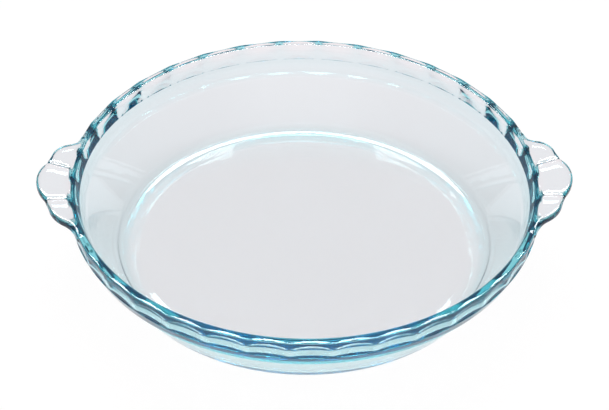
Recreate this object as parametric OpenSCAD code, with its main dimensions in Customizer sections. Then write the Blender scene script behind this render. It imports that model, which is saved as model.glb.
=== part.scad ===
// Round pie dish of pressed glass, 260 mm across its two scalloped handles.
// The wall flares up to a thick collar with shallow upright flutes, and each handle
// is a lug of three lobes that carries on from the rim.
// Units are millimetres. The origin is the middle of the resting face, +Z is up
// and the handles lie on the X axis.

/* [Rim and collar] */
// Diameter over the ridges between the flutes
rim_d = 233.2; // [200:0.2:300]
// Height of the flat rim above the table
rim_h = 41.7; // [38:0.1:60]
// Width of the flat rim, from the ridges in to the mouth
rim_w = 4.6; // [3.6:0.1:6]
// Radius of the rounding on the rim's outer edge
rim_round = 2; // [1:0.1:3]
// Radius of the rounding on the rim's inner edge
lip_round = 0.8; // [0.4:0.1:1.2]
// Height of the fluted collar, down from the rim
collar_h = 10.7; // [8:0.1:13]
// How much the collar's radius shrinks toward its foot
collar_taper = 2.1; // [1:0.1:3]

/* [Flutes] */
// Number of flutes round the collar
flutes = 36; // [28:2:44]
// How far a flute is hollowed out below the straight line between its ridges
flute_hollow = 0.45; // [0.2:0.05:0.8]
// Width of the ridge left between two flutes
ridge_w = 1.2; // [0.8:0.1:2]
// Height of the plain edge left on the collar below the flutes
flute_foot = 0.4; // [0.2:0.1:1.5]
// How much shallower a flute is at its foot
flute_fade = 0.15; // [0:0.05:0.3]

/* [Wall and floor] */
// Height of the plain band under the collar
band_h = 6; // [4:0.1:8]
// How much the band's radius shrinks toward its lower edge
band_taper = 3; // [2:0.1:4]
// Width of the step from the band in to the wall
band_step = 2.5; // [1.5:0.1:3.5]
// Height of that step
band_step_h = 1.5; // [0.8:0.1:2.5]
// Radius of the hollow in the corner under the step
step_round = 1; // [0.4:0.1:2]
// Thickness of the wall
wall_t = 5; // [4:0.1:6]
// Thickness of the floor
floor_t = 3.7; // [2.5:0.1:5]
// Radius of the hollow where the floor meets the wall inside
heel_in_r = 10; // [6:0.5:14]
// How far below the collar's foot the wall's inside bends upright
bend_drop = 2; // [1:0.1:3]
// Height of the steep part inside, from that bend up to where the lip flares out
bend_h = 4.2; // [3.4:0.1:5]
// How much the inside widens over the steep part
bend_w = 1.2; // [0.6:0.1:1.4]
// Radius of the bends at both ends of the steep part
bend_r = 8; // [5:1:12]

/* [Foot] */
// How much the wall flares from the foot up to the step
wall_flare = 16.5; // [12:0.5:22]
// Radius of the heel outside, where the wall meets the foot
heel_r = 5; // [3:0.5:7]
// Width of the ring that the dish rests on
foot_w = 4.5; // [3:0.1:7]
// Height of the recess under the floor
recess_h = 0.8; // [0.5:0.1:1.5]
// Width of the slope between the resting ring and the recess
recess_run = 7; // [4:0.5:12]

/* [Handles] */
// How far a handle reaches out past the ridges
handle_len = 13.9; // [11:0.1:18]
// Thickness of a handle
handle_t = 4.2; // [3.2:0.1:5]
// How far a handle's top stands above the rim where it leaves it
handle_lift = 1.8; // [0.8:0.1:2.5]
// Angle at which a handle rises outward
handle_tilt = 9; // [4:1:14]
// Angle of the slope from the rim up onto a handle
handle_slope = 35; // [25:1:50]
// Radius of the middle lobe
lobe_r = 22.5; // [20:0.5:25]
// Radius of the side lobes
side_lobe_r = 13; // [11:0.1:14]
// Distance of a side lobe's centre from the handle's middle line
side_lobe_off = 17.5; // [16:0.1:19]
// How far short of the middle lobe the side lobes end
side_lobe_short = 6.5; // [5:0.1:8]
// Radius of the hollow where the end of a handle runs into the collar
blend_r = 12; // [8:0.5:16]
// Radius of the rounded edge of the lobes
lobe_round = 1.6; // [0.8:0.1:2]
// Distance of a groove from the handle's middle line where it starts
groove_off = 11.3; // [9:0.1:13]
// Radius of the grooves between the lobes
groove_r = 2.4; // [1.5:0.1:3.5]
// Depth of the grooves between the lobes
groove_depth = 0.7; // [0.3:0.05:1]
// Angle at which the grooves fan out from the middle line
groove_fan = 12; // [6:1:20]

/* [Hidden] */

// Room left over when one solid is cut clean through another
eps = 0.5;

rim_r = rim_d / 2;
mouth_r = rim_r - rim_w;
pitch = 360 / flutes;
floor_z = recess_h + floor_t;

collar_z = rim_h - collar_h;
collar_foot_r = rim_r - collar_taper;
band_z = collar_z - band_h;
band_r = collar_foot_r - band_taper;
wall_r = band_r - band_step;
wall_z = band_z - band_step_h;
foot_r = wall_r - wall_flare;
// The inside of the wall runs parallel to the outside, up to the bend
wall_slope = wall_flare / wall_z;
floor_r = foot_r + floor_z * wall_slope - wall_t * sqrt(1 + wall_slope ^ 2);
bend_z = collar_z - bend_drop;
bend_in_r = floor_r + (bend_z - floor_z) * wall_slope;

// Unit vector along v
function unit(v) = v / norm(v);

// Half the angle at the corner b between a and c
function half_angle(a, b, c) = acos(unit(a - b) * unit(c - b)) / 2;
// Middle of the circle of radius r that rounds the corner b between a and c
function round_mid(a, b, c, r) = b + unit(unit(a - b) + unit(c - b)) * r / sin(half_angle(a, b, c));
// The two points where that circle touches the sides of the corner
function touch(a, b, c, r) =
    let (run = r / tan(half_angle(a, b, c)))
    [b + unit(a - b) * run, b + unit(c - b) * run];

module disc(mid, r) {
    translate(mid)
        circle(r = r, $fn = 96);
}

// Outside of the dish, from the recess under the floor out and up to the rim
under = [foot_r - foot_w - recess_run, recess_h];
ring_in = [foot_r - foot_w, 0];
heel = [foot_r, 0];
wall_top = [wall_r, wall_z];
band_foot = [band_r, band_z];
collar_foot = [collar_foot_r, collar_z];
shoulder = [rim_r, rim_h];
crown = [0, rim_h];

module outside() {
    rotate_extrude($fn = 180) {
        difference() {
            polygon(concat(
                [[0, recess_h], under, ring_in],
                touch(ring_in, heel, wall_top, heel_r),
                touch(heel, wall_top, band_foot, step_round),
                [band_foot, collar_foot],
                touch(collar_foot, shoulder, crown, rim_round),
                [crown]
            ));
            disc(round_mid(heel, wall_top, band_foot, step_round), step_round);
        }
        disc(round_mid(ring_in, heel, wall_top, heel_r), heel_r);
        disc(round_mid(collar_foot, shoulder, crown, rim_round), rim_round);
    }
}

// Room inside the dish, open upward
floor_edge = [floor_r, floor_z];
bend = [bend_in_r, bend_z];
flare = [bend_in_r + bend_w, bend_z + bend_h];
lip = [mouth_r, rim_h];

module inside() {
    rotate_extrude($fn = 180) {
        difference() {
            polygon(concat(
                [[0, floor_z]],
                touch([0, floor_z], floor_edge, bend, heel_in_r),
                touch(floor_edge, bend, flare, bend_r),
                touch(bend, flare, lip, bend_r),
                touch(flare, lip, shoulder, lip_round),
                [[touch(flare, lip, shoulder, lip_round)[1].x, rim_h + 20], [0, rim_h + 20]]
            ));
            disc(round_mid(bend, flare, lip, bend_r), bend_r);
            disc(round_mid(flare, lip, shoulder, lip_round), lip_round);
        }
        disc(round_mid([0, floor_z], floor_edge, bend, heel_in_r), heel_in_r);
        disc(round_mid(floor_edge, bend, flare, bend_r), bend_r);
    }
}

// A flute's hollow is a cylinder that leans with the collar. Its radius follows from
// the chord between two ridges and from how deep it goes below that chord.
flute_half = rim_r * sin(pitch / 2) - ridge_w / 2;
flute_depth = rim_r - sqrt(rim_r ^ 2 - flute_half ^ 2) + flute_hollow;
flute_r = (flute_half ^ 2 + flute_hollow ^ 2) / (2 * flute_hollow);
flute_lean = atan((collar_taper - flute_fade) / collar_h);

module flute() {
    intersection() {
        translate([rim_r - flute_depth, 0, rim_h])
            rotate([0, flute_lean, 0])
                translate([flute_r, 0, -2 * collar_h])
                    cylinder(r = flute_r, h = 3 * collar_h, $fn = 180);
        translate([collar_foot_r - flute_depth - eps, -flute_half - ridge_w / 4, collar_z + flute_foot])
            cube([collar_taper + flute_depth + 2 * eps, 2 * flute_half + ridge_w / 2, collar_h]);
    }
}

// One lobe: a round pad with a rounded edge, its top at z = 0
module lobe(r) {
    rotate_extrude($fn = 96) {
        translate([0, -handle_t])
            square([r - lobe_round, handle_t]);
        translate([0, lobe_round - handle_t])
            square([r, handle_t - 2 * lobe_round]);
        for (z = [-lobe_round, lobe_round - handle_t])
            disc([r - lobe_round, z], lobe_round);
    }
}

// Groove between two lobes, at height z on the pad
module groove(z) {
    rotate([0, 90, 0])
        translate([-z, 0, 0])
            cylinder(r = groove_r, h = lobe_r + 2 * side_lobe_r, $fn = 48);
}

// The handle leaves the rim here, just outside the mouth's rounded edge
handle_root = mouth_r + lip_round + 0.2;
// Reach of the middle lobe past that line
handle_reach = (rim_r + handle_len - handle_root) / cos(handle_tilt);
side_lobe = [handle_reach - side_lobe_short - side_lobe_r, side_lobe_off];
// Middle of the circle that touches the side lobe and the collar from outside
side_gap = side_lobe_r + blend_r - 0.3;
rim_gap = rim_r - flute_depth + blend_r - 0.3;
rim_mid = [-handle_root, 0];
lobe_way = norm(side_lobe - rim_mid);
lobe_turn = atan2(side_lobe.y, side_lobe.x + handle_root);
blend_turn = acos((lobe_way ^ 2 + rim_gap ^ 2 - side_gap ^ 2) / (2 * lobe_way * rim_gap));
blend_mid = rim_mid + rim_gap * [cos(lobe_turn + blend_turn), sin(lobe_turn + blend_turn)];

// What the end of a handle is hollowed out with: a disc that widens over and under the edge
module blend_cutter() {
    rotate_extrude($fn = 96)
        difference() {
            translate([0, -handle_t - eps])
                square([blend_r + lobe_round, handle_t + 2 * eps]);
            for (z = [-lobe_round, lobe_round - handle_t])
                disc([blend_r + lobe_round, z], lobe_round);
            translate([blend_r, lobe_round - handle_t])
                square([2 * lobe_round, handle_t - 2 * lobe_round]);
        }
}

// Glass that carries the side lobe's edge round into the collar
module blend() {
    difference() {
        translate([0, 0, -handle_t])
            linear_extrude(handle_t)
                polygon([
                    [0, side_lobe.y],
                    side_lobe,
                    blend_mid,
                    rim_mid + (blend_mid - rim_mid) * mouth_r / rim_gap
                ]);
        translate(blend_mid)
            blend_cutter();
    }
}

module handle() {
    translate([handle_root, 0, rim_h + handle_lift])
        rotate([0, -handle_tilt, 0])
            difference() {
                union() {
                    translate([handle_reach - lobe_r, 0, 0])
                        lobe(lobe_r);
                    for (side = [0, 1])
                        mirror([0, side, 0]) {
                            translate(side_lobe)
                                lobe(side_lobe_r);
                            blend();
                        }
                }
                for (side = [-1, 1], z = [groove_r - groove_depth, groove_depth - groove_r - handle_t])
                    translate([0, side * groove_off, 0])
                        rotate([0, 0, side * groove_fan])
                            groove(z);
            }
}

// The round dish with its flutes, before the handles
module bowl() {
    difference() {
        outside();
        inside();
        for (i = [0:flutes - 1])
            rotate([0, 0, i * pitch])
                flute();
    }
}

// A handle cut off inside the glass of the collar, with the slope from the rim onto it
module seated_handle() {
    difference() {
        handle();
        rotate_extrude($fn = 180)
            polygon([
                [0, 0],
                [handle_root, 0],
                [handle_root, rim_h],
                [handle_root + rim_h / tan(handle_slope), 2 * rim_h],
                [0, 2 * rim_h]
            ]);
    }
}

module dish() {
    color([0.78, 0.9, 0.94, 0.6]) {
        bowl();
        for (turn = [0, 180])
            rotate([0, 0, turn])
                seated_handle();
    }
}

dish();
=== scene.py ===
"""Pressed clear glass pie dish on a white table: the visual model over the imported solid."""
import math

import bpy
from mathutils import Matrix, Vector


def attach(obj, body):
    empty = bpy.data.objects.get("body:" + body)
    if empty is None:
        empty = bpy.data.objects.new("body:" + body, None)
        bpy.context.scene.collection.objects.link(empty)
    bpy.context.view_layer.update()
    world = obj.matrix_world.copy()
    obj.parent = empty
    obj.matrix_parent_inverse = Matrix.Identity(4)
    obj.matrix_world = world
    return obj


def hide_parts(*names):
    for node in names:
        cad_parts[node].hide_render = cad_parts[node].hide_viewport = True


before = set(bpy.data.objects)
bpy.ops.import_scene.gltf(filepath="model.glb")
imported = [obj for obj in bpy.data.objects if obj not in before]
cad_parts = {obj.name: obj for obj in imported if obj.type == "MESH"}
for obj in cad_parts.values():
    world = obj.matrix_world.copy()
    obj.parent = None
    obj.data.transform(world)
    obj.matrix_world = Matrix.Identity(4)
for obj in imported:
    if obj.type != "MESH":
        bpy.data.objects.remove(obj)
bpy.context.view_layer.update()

MM = 0.001

# Sizes in millimetres. Most are the solid's. The rim's rounding and crown, the flutes' depth,
# the bend inside the collar and the handles' blends are set by how the glass has to look,
# and stand less than 1 mm from the solid
RIM_R, RIM_H, MOUTH_R = 116.6, 41.7, 112.0
COLLAR_R, COLLAR_Z = 114.5, 31.0
BAND_R, BAND_Z = 111.5, 25.0
WALL_R, WALL_Z = 109.0, 23.5
FOOT_R, RING_R, UNDER_R, RECESS = 92.5, 88.0, 81.0, 0.8
FLOOR_R, FLOOR_Z = 89.55, 4.5

# The bend inside the collar, and where the lip flares out above it
BEND_R, BEND_Z, BEND_ROUND = 107.3, 29.8, 2.5
FLARE_R, FLARE_Z, FLARE_ROUND = 108.3, 33.4, 4.0

# Roundings along the section, and how far out on the rim's top the inside's path starts
RIM_ROUND, LIP_ROUND, HEEL_ROUND, FLOOR_ROUND = 1.2, 0.8, 5.0, 10.0
STEP_ROUND, BAND_ROUND, COLLAR_ROUND = 1.0, 0.8, 0.3
LIP_RUN = 0.9

# Over each flute the rim's edge is held to a flat face, and its top drops in a gentle crown
RIM_FACE = 115.75
CROWN_R, CROWN_SPREAD, CROWN_ROUND = 113.5, 2.2, 8.0

# A flute keeps a share of its depth at its foot, and the rest builds up with height at a
# rate that would give the whole depth over DEPTH_RUN
FLUTES, RIDGE_W, FLUTE_HOLLOW, FLUTE_FOOT, FLUTE_FADE = 36, 1.2, 1.0, 0.4, 0.15
FOOT_SHARE, DEPTH_RUN = 0.25, 8.0
ARCH_Z, ARCH_DROP, ARCH_SLOPE = 39.6, 2.2, math.radians(20)

HANDLE_TIP, HANDLE_T, HANDLE_LIFT, HANDLE_ROOT = 130.5, 4.2, 1.76, 113.0
HANDLE_TILT, HANDLE_SLOPE = math.radians(9), math.radians(35)
LOBE_R, SIDE_R, SIDE_OFF, SIDE_SHORT, LOBE_ROUND = 22.5, 13.0, 17.5, 6.5, 1.6
LOBE_CROWN, LOBE_CROWN_W = 0.3, 3.2
BLEND_R, BLEND_IN = 12.0, 0.4
GROOVE_OFF, GROOVE_R, GROOVE_DEPTH, GROOVE_FAN = 11.3, 2.4, 0.7, math.radians(12)

# A handle fades into the rim over a turn that ends just past its blend, and points up to
# a margin past the blend are still tested against it. All three are in radians
FADE_PAST, FADE_TURN = 0.01, 0.09
HANDLE_MARGIN = 0.02

# Fire polishing has softened every pressed edge
ARCH_SOFT, ARCH_HOLLOW_SOFT, ROOT_SOFT, SLOPE_SOFT, LOBE_SOFT = 0.3, 0.7, 1.0, 0.8, 5.0

# How the mesh is drawn: steps round the axis and along an arc in degrees, added points by
# the ends of straight runs, heights of the rows between a flute's foot and the rim, where
# pressing starts, digits that tell places apart, and the weld in metres
STEPS_PER_FLUTE, ARC_STEP, ARC_STEPS_LEAST = 24, 9.0, 3
TURNS = FLUTES * STEPS_PER_FLUTE
STRAIGHT_RUN, END_STEP, FOOT_STEP = 2.0, 0.3, 0.08
COLLAR_ROWS, RAYS_FROM_Z = (32.3, 33.4, 34.5, 35.6, 36.6), 36.7
PRESSED_R = HANDLE_ROOT - 0.3
PLACE_DIGITS, WELD = 4, 0.000004
SMOOTH_ANGLE = math.radians(35)

# The rim and the handles are drawn along rays from a ring inside the glass, in degrees
CORE_R, CORE_Z = 114.2, 41.0
RAY_REACH, RAY_HALVINGS = 19.0, 22
RAYS = [
    -72, -60, -48, -38, -30, -23, -17, -12, -8, -5, -2.5, -0.5, 1.2, 2.6, 3.9, 5.2, 6.6, 8.1,
    9.7, 11.3, 12.9, 14.4, 15.8, 17.1, 18.4, 19.8, 21.5, 23.5, 26, 29.5, 34, 40, 48, 60, 76,
    95, 115, 135, 149]

# The camera, fitted to the photograph's ellipses: its lens and sensor in millimetres, and
# the point it looks at and its distance in metres
CAMERA_LENS, CAMERA_SENSOR, CAMERA_END = 184.91, 36, 50
CAMERA_RISE, CAMERA_ROLL, CAMERA_TURN = (math.radians(a) for a in (39.905, 0.837, -2.046))
CAMERA_AIM, CAMERA_AWAY = Vector((-0.00004, 0, 0.02795)), 1.5322

# Glass: absorption per metre of red, green and blue, set to the photograph's tint
GLASS_IOR, GLASS_ABSORPTION = 1.5, (46.0, 8.5, 5.5)

# Table: its paint, its glow, and how much of it the camera and the glass see as glow
WHITE, TABLE_PAINT, GLOW_BEHIND_GLASS = "#FFFFFF", "#F9E7EB", "#FFEBED"
GLOW_TO_CAMERA, GLOW_TO_GLASS = 0.97, 0.85
TABLE_SIZE, TABLE_DROP = 6, 0.0002

# Room: it dims over this sideways part of a direction, from one share to another, below
# this upward part of it, and it shines at this strength
SIDE_FROM, SIDE_TO, SIDE_DIM_FROM, SIDE_DIM_TO = 0.3, 0.7, 0.6, 0.85
HIGH_FROM, HIGH_TO = 0.88, 0.7
ROOM_LIGHT = 1.35

# Soft box behind the dish: metres and watts
LAMP_W, LAMP_D, LAMP_POWER, LAMP_AWAY, LAMP_RISE = 1.7, 0.5, 50, 2.2, math.radians(57)
BOUNCES = 96


def deselect():
    bpy.ops.object.select_all(action="DESELECT")


def pick(obj):
    deselect()
    obj.select_set(True)
    bpy.context.view_layer.objects.active = obj


def rounded(path):
    """The corners of a path of (r, z, rounding) drawn as arcs."""
    points = []
    for i, (r, z, rounding) in enumerate(path):
        corner_at = Vector((r, z))
        if rounding <= 0:
            points.append(corner_at)
            continue
        a = (Vector(path[i - 1][:2]) - corner_at).normalized()
        b = (Vector(path[i + 1][:2]) - corner_at).normalized()
        half = a.angle(b) / 2
        middle = corner_at + (a + b).normalized() * rounding / math.sin(half)
        start, end = (corner_at + side * rounding / math.tan(half) - middle for side in (a, b))
        turn = start.angle_signed(end)
        steps = max(ARC_STEPS_LEAST, math.ceil(abs(math.degrees(turn)) / ARC_STEP))
        for k in range(steps + 1):
            arm = start.copy()
            arm.rotate(Matrix.Rotation(-turn * k / steps, 2))
            points.append(middle + arm)
    return points


def with_flats(points):
    """A point near each end of a long straight run, so that smooth shading keeps it straight."""
    made = points[:1]
    for a, b in zip(points, points[1:]):
        if (b - a).length > STRAIGHT_RUN:
            step = (b - a).normalized() * END_STEP
            made += [a + step, b - step]
        made.append(b)
    return made


def soft_max(a, b, soft):
    """The larger of two distances, with the crease between them rounded."""
    h = max(soft - abs(a - b), 0.0) / soft
    return max(a, b) + h * h * soft / 4


def collar_ridge(z):
    """Radius of the collar over its ridges."""
    return RIM_R - (RIM_R - COLLAR_R) * (RIM_H - z) / (RIM_H - COLLAR_Z)


def flute_hollow(turn, z):
    """Radius of a flute's hollow at an angle from its middle. It leans with the collar and
    fades out toward its foot."""
    half = RIM_R * math.sin(math.pi / FLUTES) - RIDGE_W / 2
    depth = RIM_R - math.sqrt(RIM_R ** 2 - half ** 2) + FLUTE_HOLLOW
    radius = (half ** 2 + FLUTE_HOLLOW ** 2) / (2 * FLUTE_HOLLOW)
    lean = (RIM_R - COLLAR_R - FLUTE_FADE) / (RIM_H - COLLAR_Z)
    axis = RIM_R - depth - (RIM_H - z) * lean + radius
    room = max(0.0, radius ** 2 - (axis * math.sin(turn)) ** 2)
    hollow = axis * math.cos(turn) - math.sqrt(room)
    share = min(1.0, max(0.0, FOOT_SHARE + (z - COLLAR_Z - FLUTE_FOOT) / DEPTH_RUN))
    return collar_ridge(z) + min(0.0, hollow - collar_ridge(z)) * share


def corner(across, up, rounding):
    """Distance outside a rounded corner, from the distances outside its two sides."""
    a, b = across + rounding, up + rounding
    return math.hypot(max(a, 0), max(b, 0)) + min(max(a, b), 0) - rounding


def rim_distance(r, z, flute_turn):
    """How far a point stands outside the collar and the rim's rounded edge. Each flute runs
    out in an arch, which leaves the rim's edge whole above it, and softens the rim's top."""
    across = (flute_turn * FLUTES / math.pi) ** 2
    over = max(0.0, r - CROWN_R - CROWN_SPREAD * across)
    ridge = corner(r - collar_ridge(z), z - RIM_H + over ** 2 / (2 * CROWN_ROUND), RIM_ROUND)
    ridge = max(ridge, r * math.cos(flute_turn) - RIM_FACE)
    hollow = r - flute_hollow(flute_turn, z)
    arch = ARCH_Z - ARCH_DROP * across
    ceiling = (arch + hollow * math.tan(ARCH_SLOPE) - z) * math.cos(ARCH_SLOPE)
    return soft_max(ridge, -soft_max(-hollow, -ceiling, ARCH_HOLLOW_SOFT), ARCH_SOFT)


# Plan of a handle: the lobes' middles, and the hollow that carries each end into the collar
MIDDLE_X = HANDLE_TIP - LOBE_R
SIDE_X = HANDLE_TIP - SIDE_SHORT - SIDE_R
BLEND_WAY = RIM_R - BLEND_IN + BLEND_R
side_way = math.hypot(SIDE_X, SIDE_OFF)
blend_turn = math.atan2(SIDE_OFF, SIDE_X) + math.acos(
    (side_way ** 2 + BLEND_WAY ** 2 - (SIDE_R + BLEND_R) ** 2) / (2 * side_way * BLEND_WAY))
BLEND_X, BLEND_Y = BLEND_WAY * math.cos(blend_turn), BLEND_WAY * math.sin(blend_turn)
touch_x = SIDE_X + (BLEND_X - SIDE_X) * SIDE_R / (SIDE_R + BLEND_R)
touch_y = SIDE_OFF + (BLEND_Y - SIDE_OFF) * SIDE_R / (SIDE_R + BLEND_R)
touch_turn = math.atan2(touch_y, touch_x)


def far_side(turn, x, y, radius):
    """Where a ray from the dish's axis leaves a circle in plan, or 0 if it misses."""
    along = x * math.cos(turn) + y * math.sin(turn)
    room = along ** 2 - (x * x + y * y - radius ** 2)
    return along + math.sqrt(room) if room > 0 else 0.0


def handle_outline(turn):
    """Reach of a handle in plan at an angle from its middle line."""
    turn = abs(turn)
    if turn > blend_turn:
        return RIM_R - BLEND_IN
    if turn > touch_turn:
        along = BLEND_X * math.cos(turn) + BLEND_Y * math.sin(turn)
        room = along ** 2 - (BLEND_WAY ** 2 - BLEND_R ** 2)
        return along - math.sqrt(max(room, 0.0))
    middle_lobe = far_side(turn, MIDDLE_X, 0, LOBE_R)
    side_lobe = far_side(turn, SIDE_X, SIDE_OFF, SIDE_R)
    return soft_max(middle_lobe, side_lobe, LOBE_SOFT)


def handle_distance(r, z, turn, reach):
    """How far a point stands outside a handle at an angle from its middle line."""
    x, y = r * math.cos(turn), r * abs(math.sin(turn))
    fade = min(1.0, max(0.0, (blend_turn + FADE_PAST - abs(turn)) / FADE_TURN))
    fade = fade * fade * (3 - 2 * fade)
    top = RIM_H + fade * (HANDLE_LIFT + (x - HANDLE_ROOT) * math.tan(HANDLE_TILT))
    # The grooves between the lobes, on both faces, and the slight crown of each lobe
    off = (y - GROOVE_OFF) * math.cos(GROOVE_FAN) - (x - HANDLE_ROOT) * math.sin(GROOVE_FAN)
    round_in = math.sqrt(max(0.0, GROOVE_R ** 2 - off * off))
    groove = max(0.0, round_in - GROOVE_R + GROOVE_DEPTH)
    groove = max(groove, LOBE_CROWN * math.exp(-(off / LOBE_CROWN_W) ** 2)) * fade
    half = HANDLE_T / 2 - groove
    level = abs(z - (top - HANDLE_T / 2)) * math.cos(HANDLE_TILT)
    pad = corner(r - reach, level - half, min(LOBE_ROUND, half))
    slope = z - RIM_H - (r - HANDLE_ROOT) * math.tan(HANDLE_SLOPE)
    return soft_max(pad, slope * math.cos(HANDLE_SLOPE), SLOPE_SOFT)


def ray_length(angle, distance):
    """Length of a ray from the core to the surface, halved down from a length beyond it."""
    c, s = math.cos(angle), math.sin(angle)
    near, far = 0.0, RAY_REACH
    for _ in range(RAY_HALVINGS):
        middle = (near + far) / 2
        if distance(CORE_R + middle * c, CORE_Z + middle * s) < 0:
            near = middle
        else:
            far = middle
    return (near + far) / 2


def on_ray(angle, length):
    return Vector((CORE_R + length * math.cos(angle), CORE_Z + length * math.sin(angle)))


def dish_section():
    """Section of the dish through a ridge, from the axis under the floor round to the axis
    above it."""
    outside = rounded([
        (0, RECESS, 0), (UNDER_R, RECESS, 0), (RING_R, 0, 0), (FOOT_R, 0, HEEL_ROUND),
        (WALL_R, WALL_Z, STEP_ROUND), (BAND_R, BAND_Z, BAND_ROUND),
        (COLLAR_R, COLLAR_Z, COLLAR_ROUND), (RIM_R, RIM_H, 0)])[:-1]
    foot = COLLAR_Z + FLUTE_FOOT
    rows = (foot - FOOT_STEP, foot + FOOT_STEP) + COLLAR_ROWS
    collar = [Vector((collar_ridge(z), z)) for z in rows]
    ridge_turn = math.pi / FLUTES
    rim = [on_ray(a, ray_length(a, lambda r, z: rim_distance(r, z, ridge_turn)))
           for a in map(math.radians, RAYS)]
    inside = rounded([
        (MOUTH_R + LIP_RUN, RIM_H, 0), (MOUTH_R, RIM_H, LIP_ROUND),
        (FLARE_R, FLARE_Z, FLARE_ROUND), (BEND_R, BEND_Z, BEND_ROUND),
        (FLOOR_R, FLOOR_Z, FLOOR_ROUND), (0, FLOOR_Z, 0)])[1:]
    return with_flats(outside + collar[:1]) + collar[1:] + rim + with_flats(inside)


def spun_dish():
    """The section drawn once and spun about the dish's axis."""
    section = dish_section()
    mesh = bpy.data.meshes.new("glass_dish")
    mesh.from_pydata([(p.x * MM, 0, p.y * MM) for p in section],
                     [(i, i + 1) for i in range(len(section) - 1)], [])
    spun = bpy.data.objects.new("glass_dish", mesh)
    bpy.context.scene.collection.objects.link(spun)
    pick(spun)
    bpy.ops.object.mode_set(mode="EDIT")
    bpy.ops.mesh.select_all(action="SELECT")
    bpy.ops.mesh.spin(steps=TURNS, angle=math.tau, center=(0, 0, 0), axis=(0, 0, 1))
    bpy.ops.mesh.select_all(action="SELECT")
    bpy.ops.mesh.remove_doubles(threshold=WELD)
    bpy.ops.mesh.normals_make_consistent(inside=False)
    bpy.ops.object.mode_set(mode="OBJECT")
    return spun


def press_rim(obj):
    """Flutes pressed into the collar, and a handle drawn out of the rim on each side."""
    pitch = math.tau / FLUTES
    # The lengths of the rays, by place, since both halves and all flutes are alike
    known = {}
    for v in obj.data.vertices:
        x, y, z = (c / MM for c in v.co)
        r = math.hypot(x, y)
        if z < COLLAR_Z + FLUTE_FOOT or r < PRESSED_R:
            continue
        turn = math.atan2(y, x)
        flute_turn = ((turn / pitch + 0.5) % 1.0 - 0.5) * pitch
        if z < RAYS_FROM_Z:
            new_r, new_z = min(r, flute_hollow(flute_turn, z)), z
        else:
            angle = math.atan2(z - CORE_Z, r - CORE_R)
            from_handle = min(abs(turn), math.pi - abs(turn))
            by_handle = from_handle < blend_turn + HANDLE_MARGIN
            place = (by_handle, round(angle, PLACE_DIGITS),
                     round(from_handle if by_handle else abs(flute_turn), PLACE_DIGITS))
            if place not in known and by_handle:
                reach = handle_outline(from_handle)
                known[place] = ray_length(angle, lambda r, z: -soft_max(
                    -rim_distance(r, z, flute_turn),
                    -handle_distance(r, z, from_handle, reach), ROOT_SOFT))
            elif place not in known:
                known[place] = ray_length(angle, lambda r, z: rim_distance(r, z, flute_turn))
            new_r, new_z = on_ray(angle, known[place])
        v.co = Vector((x * new_r / r, y * new_r / r, new_z)) * MM


def linear(code):
    """An sRGB hex colour as linear values, with an alpha of 1."""
    parts = [int(code[i:i + 2], 16) / 255 for i in (1, 3, 5)]
    return [c / 12.92 if c <= 0.04045 else ((c + 0.055) / 1.055) ** 2.4 for c in parts] + [1]


def node(tree, kind, settings=(), **links):
    """Adds a node, sets it up and links its inputs by name or number."""
    made = tree.nodes.new(kind)
    for key, value in dict(settings).items():
        if isinstance(key, str) and hasattr(made, key):
            setattr(made, key, value)
        else:
            made.inputs[key].default_value = value
    for key, source in links.items():
        name = key[1:]
        socket = made.inputs[int(name) if name.isdigit() else key.replace("_", " ")]
        tree.links.new(source, socket)
    return made


def pressed_soda_glass():
    """Clear soda-lime glass, pressed in a mould and fire polished: smooth, with a blue-green
    tint that only long paths show."""
    mat = bpy.data.materials.new("clear_pressed_soda_lime_glass")
    mat.use_nodes = True
    tree = mat.node_tree
    skin = tree.nodes["Principled BSDF"]
    skin.inputs["Base Color"].default_value = linear(WHITE)
    skin.inputs["Roughness"].default_value = 0.0
    skin.inputs["IOR"].default_value = GLASS_IOR
    skin.inputs["Transmission Weight"].default_value = 1.0
    most = max(GLASS_ABSORPTION)
    tint = node(tree, "ShaderNodeVolumeAbsorption",
                {"Color": [1 - s / most for s in GLASS_ABSORPTION] + [1], "Density": most})
    tree.links.new(tint.outputs[0], tree.nodes["Material Output"].inputs["Volume"])
    return mat


def white_table():
    """Matt white table that also glows. The glow keeps it a clean white where it is seen
    directly or mirrored, and a warmer one through the glass, as the photograph is balanced
    to the glass."""
    mat = bpy.data.materials.new("matt_white_table")
    mat.use_nodes = True
    tree = mat.node_tree
    skin = tree.nodes["Principled BSDF"]
    skin.inputs["Base Color"].default_value = linear(TABLE_PAINT)
    skin.inputs["Roughness"].default_value = 1.0
    skin.inputs["Specular IOR Level"].default_value = 0.0
    ray = node(tree, "ShaderNodeLightPath")
    direct, mirrored, through = (
        ray.outputs[kind] for kind in ("Is Camera Ray", "Is Glossy Ray", "Is Transmission Ray"))
    by_glass = node(tree, "ShaderNodeMath", {"operation": "MAXIMUM"}, _0=mirrored, _1=through)
    to_camera = node(tree, "ShaderNodeMath", {"operation": "MULTIPLY", 1: GLOW_TO_CAMERA},
                     _0=direct)
    to_glass = node(tree, "ShaderNodeMath", {"operation": "MULTIPLY", 1: GLOW_TO_GLASS},
                    _0=by_glass.outputs[0])
    share = node(tree, "ShaderNodeMath", {"operation": "MAXIMUM"},
                 _0=to_camera.outputs[0], _1=to_glass.outputs[0])
    # Inputs 6 and 7 are the two colours of the mix
    white = node(tree, "ShaderNodeMix",
                 {"data_type": "RGBA", 6: linear(WHITE), 7: linear(GLOW_BEHIND_GLASS)},
                 _0=through)
    glow = node(tree, "ShaderNodeEmission", {"Strength": 1.0}, Color=white.outputs[2])
    mix = node(tree, "ShaderNodeMixShader", {},
               _0=share.outputs[0], _1=skin.outputs[0], _2=glow.outputs[0])
    tree.links.new(mix.outputs[0], tree.nodes["Material Output"].inputs["Surface"])
    return mat


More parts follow.
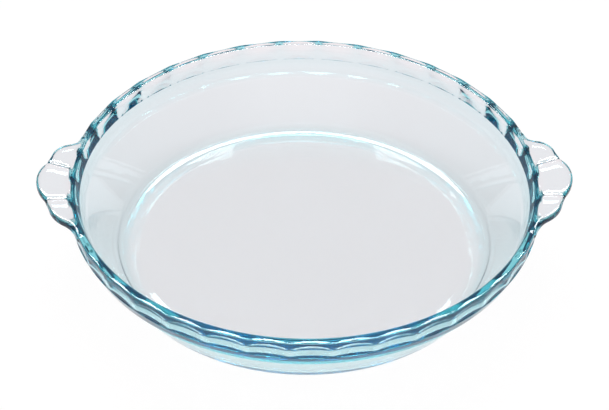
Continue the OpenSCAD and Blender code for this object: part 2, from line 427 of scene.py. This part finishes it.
# The camera
camera_data = bpy.data.cameras.new("camera")
camera = bpy.data.objects.new("camera", camera_data)
bpy.context.scene.collection.objects.link(camera)
camera_data.sensor_width = CAMERA_SENSOR
camera_data.lens = CAMERA_LENS
camera_data.clip_end = CAMERA_END
back = Vector((0, -math.cos(CAMERA_RISE), math.sin(CAMERA_RISE)))
up = Vector((0, math.sin(CAMERA_RISE), math.cos(CAMERA_RISE)))
level_view = Matrix((Vector((1, 0, 0)), up, back)).transposed()
view = (level_view @ Matrix.Rotation(CAMERA_ROLL, 3, "Z")).to_4x4()
view.translation = CAMERA_AIM + back * CAMERA_AWAY
camera.matrix_world = Matrix.Rotation(CAMERA_TURN, 4, "Z") @ view
bpy.context.scene.camera = camera

# The dish
glass = pressed_soda_glass()
dish = spun_dish()
press_rim(dish)
pick(dish)
bpy.ops.object.shade_smooth_by_angle(angle=SMOOTH_ANGLE)
dish.data.materials.clear()
dish.data.materials.append(glass)
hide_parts("dish")
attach(dish, "root")
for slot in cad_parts["dish"].material_slots:
    slot.material = glass

# The table
deselect()
bpy.ops.mesh.primitive_plane_add(size=TABLE_SIZE, location=(0, 0, -TABLE_DROP))
table = bpy.context.object
table.name = "table"
table.data.materials.append(white_table())

# White room that dims toward the sides, but not overhead, which darkens the glass's edges
world = bpy.data.worlds.new("white_room")
world.use_nodes = True
sky = world.node_tree
look = node(sky, "ShaderNodeTexCoord")
way = node(sky, "ShaderNodeSeparateXYZ", {}, Vector=look.outputs["Generated"])
side = node(sky, "ShaderNodeMath", {"operation": "ABSOLUTE"}, _0=way.outputs["X"])
sideways = node(sky, "ShaderNodeMapRange",
                {"From Min": SIDE_FROM, "From Max": SIDE_TO,
                 "To Min": SIDE_DIM_FROM, "To Max": SIDE_DIM_TO}, Value=side.outputs[0])
low = node(sky, "ShaderNodeMapRange",
           {"From Min": HIGH_FROM, "From Max": HIGH_TO, "To Min": 0.0, "To Max": 1.0},
           Value=way.outputs["Z"])
dim = node(sky, "ShaderNodeMath", {"operation": "MULTIPLY"},
           _0=sideways.outputs[0], _1=low.outputs[0])
light = node(sky, "ShaderNodeMath", {"operation": "SUBTRACT", 0: 1.0}, _1=dim.outputs[0])
background = sky.nodes["Background"]
background.inputs["Color"].default_value = (ROOM_LIGHT, ROOM_LIGHT, ROOM_LIGHT, 1)
sky.links.new(light.outputs[0], background.inputs["Strength"])
bpy.context.scene.world = world

# A wide soft box behind the dish, which the rim, the handles and the floor's edge mirror
lamp = bpy.data.lights.new("soft_box", "AREA")
lamp.shape = "RECTANGLE"
lamp.size, lamp.size_y, lamp.energy = LAMP_W, LAMP_D, LAMP_POWER
soft_box = bpy.data.objects.new("soft_box", lamp)
bpy.context.scene.collection.objects.link(soft_box)
soft_box.location = LAMP_AWAY * Vector((0, math.cos(LAMP_RISE), math.sin(LAMP_RISE)))
soft_box.rotation_euler = (LAMP_RISE - math.pi / 2, 0, 0)
bpy.context.scene.view_settings.view_transform = "Standard"
cycles = bpy.context.scene.cycles
cycles.max_bounces = cycles.transmission_bounces = cycles.glossy_bounces = BOUNCES
